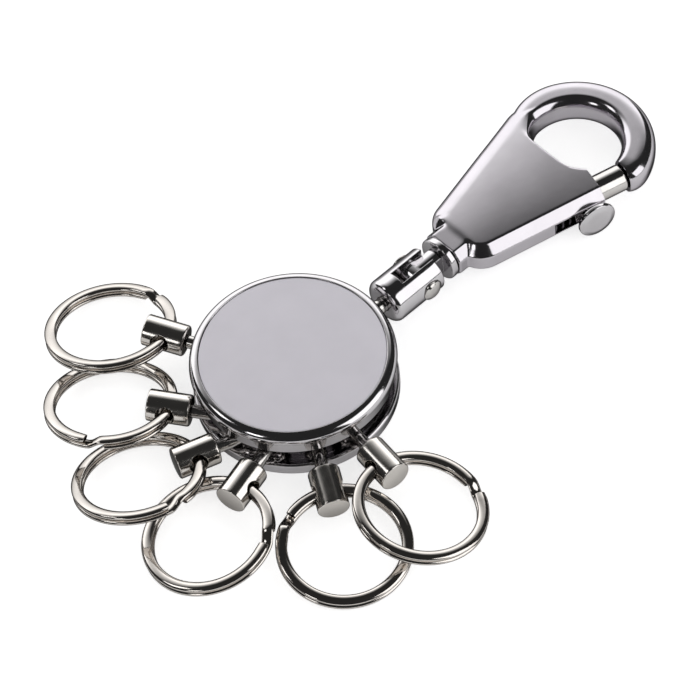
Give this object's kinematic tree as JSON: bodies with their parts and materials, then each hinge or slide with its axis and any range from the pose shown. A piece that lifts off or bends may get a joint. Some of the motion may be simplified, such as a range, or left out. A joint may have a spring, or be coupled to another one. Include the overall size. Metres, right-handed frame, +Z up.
{
  "type": "belt key clip",
  "caption": "Round key organiser with swivelling split rings and a bolt snap hook that clips to a belt loop or bag.",
  "frame": {"origin": "centre of the disc's base, where the disc stands on a table", "axes": "+X from the disc's centre along the snap hook, +Z up out of the satin face, the disc's axis is Z"},
  "size_m": [0.1209, 0.0845, 0.01],
  "materials": {
    "satin_face": "satin, fine concentric grain",
    "polished_chrome": "polished plating on zinc and brass",
    "hook_chrome": "polished plating on die-cast zinc",
    "nickel_plate": "bright nickel plating",
    "ring_wire": "bright nickel plated spring steel",
    "inner_steel": "plain steel"
  },
  "bodies": {
    "disc": {"face_plate": "satin_face", "cap": "polished_chrome", "core_post": "inner_steel", "washer": "inner_steel", "base_screw": "inner_steel", "release_spring": "inner_steel"},
    "base": {"base_plate": "polished_chrome"},
    "stud_1": {"ring_stud_1": "nickel_plate"},
    "barrel_1": {"ring_barrel_1": "polished_chrome"},
    "ring_1": {"split_ring_1": "ring_wire"},
    "stud_2": {"ring_stud_2": "nickel_plate"},
    "barrel_2": {"ring_barrel_2": "polished_chrome"},
    "ring_2": {"split_ring_2": "ring_wire"},
    "stud_3": {"ring_stud_3": "nickel_plate"},
    "barrel_3": {"ring_barrel_3": "polished_chrome"},
    "ring_3": {"split_ring_3": "ring_wire"},
    "stud_4": {"ring_stud_4": "nickel_plate"},
    "barrel_4": {"ring_barrel_4": "polished_chrome"},
    "ring_4": {"split_ring_4": "ring_wire"},
    "stud_5": {"ring_stud_5": "nickel_plate"},
    "barrel_5": {"ring_barrel_5": "polished_chrome"},
    "ring_5": {"split_ring_5": "ring_wire"},
    "stud_6": {"ring_stud_6": "nickel_plate"},
    "barrel_6": {"ring_barrel_6": "polished_chrome"},
    "ring_6": {"split_ring_6": "ring_wire"},
    "clevis_stud": {"clevis_stud": "nickel_plate"},
    "clevis": {"clevis": "polished_chrome", "clevis_pin": "nickel_plate"},
    "swivel": {"swivel_shank": "polished_chrome"},
    "hook": {"snap_body": "hook_chrome", "bolt_spring": "inner_steel"},
    "bolt": {"snap_bolt": "nickel_plate", "thumb_knob": "polished_chrome"}
  },
  "joints": [
    {"name": "base_release", "type": "slide", "parent": "disc", "child": "base", "axis": [0, 0, 1], "range_m": [-0.0016, 0], "stiffness_N_per_m": 1000, "springref_m": 0.003, "deforming": ["release_spring"]},
    {"name": "stud_1_travel", "type": "hinge", "parent": "disc", "child": "stud_1", "pos_m": [0, 0, 0.004], "axis": [0, 0, 1], "range_deg": [-60, 4]},
    {"name": "barrel_1_turn", "type": "hinge", "parent": "stud_1", "child": "barrel_1", "pos_m": [-0.00526, 0.01233, 0.004], "axis": [-0.4583, 0.8842, 0.0906], "range_deg": [0, 90]},
    {"name": "ring_1_run", "type": "hinge", "parent": "barrel_1", "child": "ring_1", "pos_m": [-0.01462, 0.02939, 0.00377], "axis": [0.1372, 0.2129, 0.9674], "continuous": true},
    {"name": "stud_2_travel", "type": "hinge", "parent": "disc", "child": "stud_2", "pos_m": [0, 0, 0.004], "axis": [0, 0, 1], "range_deg": [-4, 4]},
    {"name": "barrel_2_turn", "type": "hinge", "parent": "stud_2", "child": "barrel_2", "pos_m": [-0.01327, 0.00189, 0.004], "axis": [-0.5771, 0.815, 0.0523], "range_deg": [0, 90]},
    {"name": "ring_2_run", "type": "hinge", "parent": "barrel_2", "child": "ring_2", "pos_m": [-0.0248, 0.01767, 0.00401], "axis": [0.1878, 0.206, 0.9604], "continuous": true},
    {"name": "stud_3_travel", "type": "hinge", "parent": "disc", "child": "stud_3", "pos_m": [0, 0, 0.004], "axis": [0, 0, 1], "range_deg": [-4, 2]},
    {"name": "barrel_3_turn", "type": "hinge", "parent": "stud_3", "child": "barrel_3", "pos_m": [-0.013, -0.00324, 0.004], "axis": [-0.9455, 0.3256, 0.0105], "range_deg": [0, 90]},
    {"name": "ring_3_run", "type": "hinge", "parent": "barrel_3", "child": "ring_3", "pos_m": [-0.03149, 0.00317, 0.00435], "axis": [0.1254, 0.2854, 0.9502], "continuous": true},
    {"name": "stud_4_travel", "type": "hinge", "parent": "disc", "child": "stud_4", "pos_m": [0, 0, 0.004], "axis": [0, 0, 1], "range_deg": [-2, 1.8]},
    {"name": "barrel_4_turn", "type": "hinge", "parent": "stud_4", "child": "barrel_4", "pos_m": [-0.01138, -0.00708, 0.004], "axis": [-0.965, -0.2622, 0.0035], "range_deg": [0, 90]},
    {"name": "ring_4_run", "type": "hinge", "parent": "barrel_4", "child": "ring_4", "pos_m": [-0.03065, -0.01248, 0.00317], "axis": [-0.1277, 0.1374, 0.9822], "continuous": true},
    {"name": "stud_5_travel", "type": "hinge", "parent": "disc", "child": "stud_5", "pos_m": [0, 0, 0.004], "axis": [0, 0, 1], "range_deg": [-1.8, 2]},
    {"name": "barrel_5_turn", "type": "hinge", "parent": "stud_5", "child": "barrel_5", "pos_m": [-0.00664, -0.01164, 0.004], "axis": [-0.4916, -0.8653, -0.0976], "range_deg": [-90, 0]},
    {"name": "ring_5_run", "type": "hinge", "parent": "barrel_5", "child": "ring_5", "pos_m": [-0.0165, -0.029, 0.00211], "axis": [-0.0129, -0.0968, 0.9952], "continuous": true},
    {"name": "stud_6_travel", "type": "hinge", "parent": "disc", "child": "stud_6", "pos_m": [0, 0, 0.004], "axis": [0, 0, 1], "range_deg": [-2, 50]},
    {"name": "barrel_6_turn", "type": "hinge", "parent": "stud_6", "child": "barrel_6", "pos_m": [-0.00103, -0.01336, 0.004], "axis": [-0.1219, -0.9925, 0.0122], "range_deg": [-90, 0]},
    {"name": "ring_6_run", "type": "hinge", "parent": "barrel_6", "child": "ring_6", "pos_m": [-0.00364, -0.03322, 0.00349], "axis": [0.208, -0.0908, 0.9739], "continuous": true},
    {"name": "clevis_stud_travel", "type": "hinge", "parent": "disc", "child": "clevis_stud", "pos_m": [0, 0, 0.004], "axis": [0, 0, 1], "range_deg": [-20, 20]},
    {"name": "clevis_turn", "type": "hinge", "parent": "clevis_stud", "child": "clevis", "pos_m": [0.0134, 0, 0.004], "axis": [1, 0, 0], "continuous": true},
    {"name": "swivel_fold", "type": "hinge", "parent": "clevis", "child": "swivel", "pos_m": [0.0274, 0, 0.004], "axis": [0, 1, 0], "range_deg": [-90, 90]},
    {"name": "hook_turn", "type": "hinge", "parent": "swivel", "child": "hook", "pos_m": [0.0337, 0, 0.004], "axis": [1, 0, 0], "continuous": true},
    {"name": "bolt_slide", "type": "slide", "parent": "hook", "child": "bolt", "axis": [0.9703, -0.2419, 0], "range_m": [-0.0058, 0], "stiffness_N_per_m": 250, "springref_m": 0.006, "deforming": ["bolt_spring"]}
  ]
}
